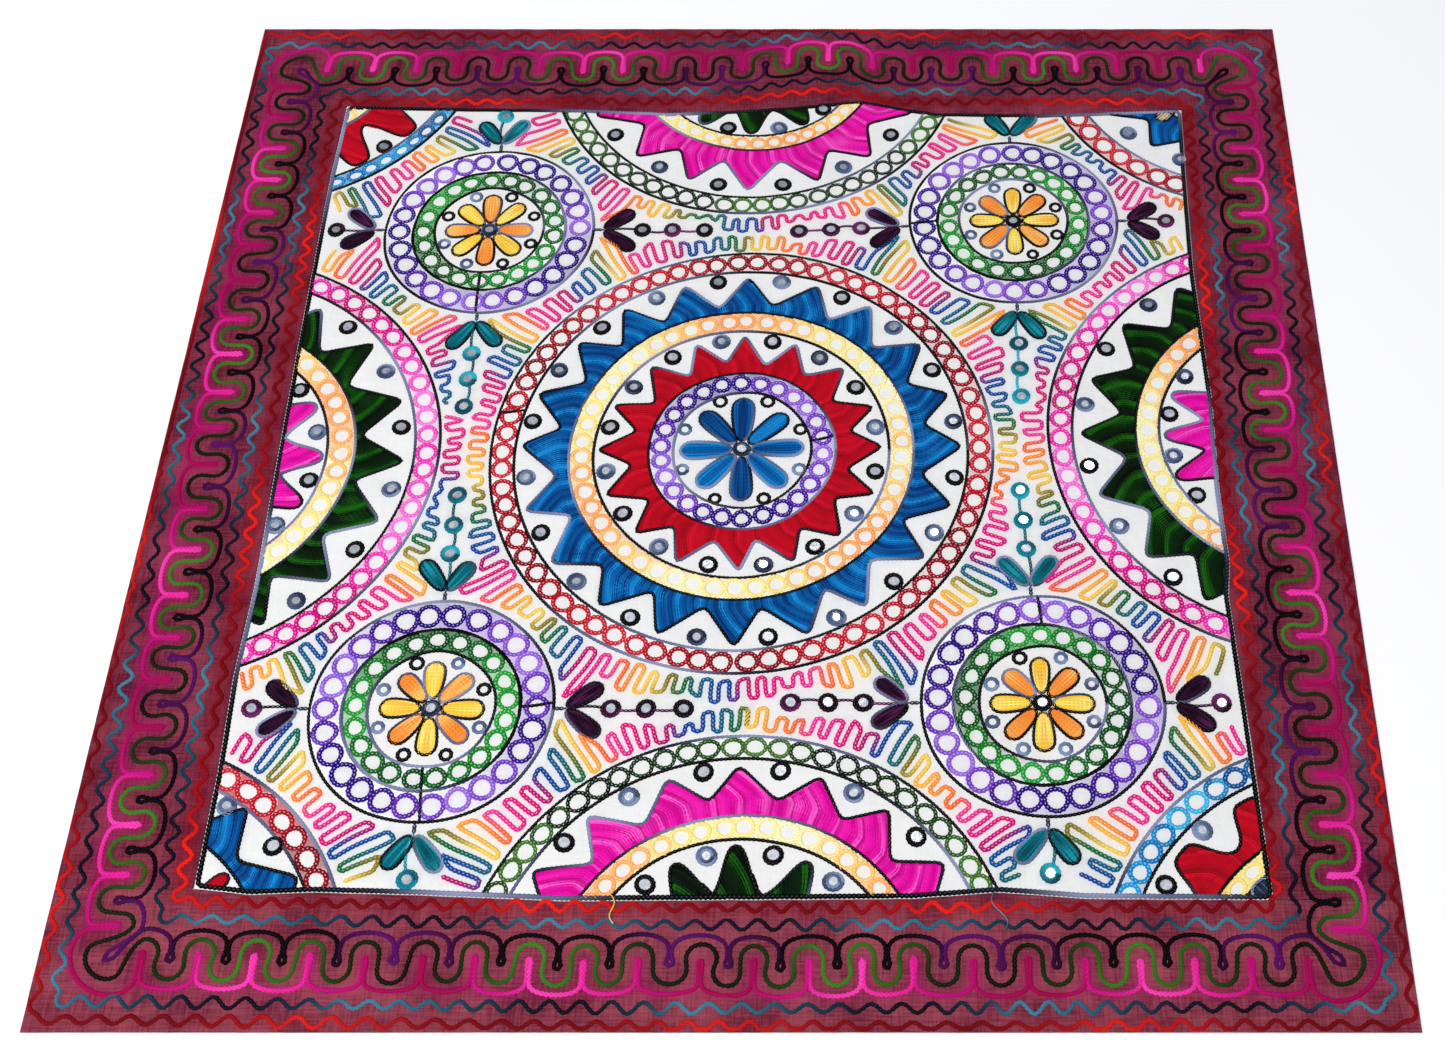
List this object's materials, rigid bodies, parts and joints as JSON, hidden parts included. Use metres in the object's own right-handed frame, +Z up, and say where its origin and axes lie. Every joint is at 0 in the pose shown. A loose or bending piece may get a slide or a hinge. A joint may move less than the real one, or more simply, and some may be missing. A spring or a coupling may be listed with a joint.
{
  "type": "embroidered tapestry",
  "caption": "Square cotton wall cloth with a pale panel, a maroon border, chain-stitched rings, stars and flowers, and small round mirrors, lying flat.",
  "frame": {"origin": "centre of the underside, on the surface that the cloth lies on", "axes": "+Z up out of the embroidered face, +X to the right and +Y to the far edge as pictured"},
  "size_m": [1.016, 1.016, 0.0027],
  "materials": {
    "panel_cotton": "plain weave, matt",
    "border_cotton": "plain weave, matt",
    "thread": "soft sheen",
    "mirror_glass": "polished, a little dull"
  },
  "bodies": {
    "root": {"centre_panel": "panel_cotton", "border_top": "border_cotton", "border_bottom": "border_cotton", "border_left": "border_cotton", "border_right": "border_cotton", "mirror_outer_01": "mirror_glass", "mirror_outer_02": "mirror_glass", "mirror_outer_03": "mirror_glass", "mirror_outer_04": "mirror_glass", "mirror_outer_05": "mirror_glass", "mirror_outer_06": "mirror_glass", "mirror_outer_07": "mirror_glass", "mirror_outer_08": "mirror_glass", "mirror_outer_09": "mirror_glass", "mirror_outer_10": "mirror_glass", "mirror_outer_11": "mirror_glass", "mirror_outer_12": "mirror_glass", "mirror_outer_13": "mirror_glass", "mirror_outer_14": "mirror_glass", "mirror_outer_15": "mirror_glass", "mirror_outer_16": "mirror_glass", "mirror_outer_17": "mirror_glass", "mirror_outer_18": "mirror_glass", "mirror_outer_19": "mirror_glass", "mirror_outer_20": "mirror_glass", "mirror_inner_01": "mirror_glass", "mirror_inner_02": "mirror_glass", "mirror_inner_03": "mirror_glass", "mirror_inner_04": "mirror_glass", "mirror_inner_05": "mirror_glass", "mirror_inner_06": "mirror_glass", "mirror_inner_07": "mirror_glass", "mirror_inner_08": "mirror_glass", "mirror_inner_09": "mirror_glass", "mirror_inner_10": "mirror_glass", "mirror_inner_11": "mirror_glass", "mirror_inner_12": "mirror_glass", "mirror_inner_13": "mirror_glass", "mirror_inner_14": "mirror_glass", "mirror_inner_15": "mirror_glass", "mirror_inner_16": "mirror_glass", "mirror_middle": "mirror_glass", "mirror_hub_1": "mirror_glass", "mirror_hub_2": "mirror_glass", "mirror_hub_3": "mirror_glass", "mirror_hub_4": "mirror_glass"}
  },
  "joints": []
}
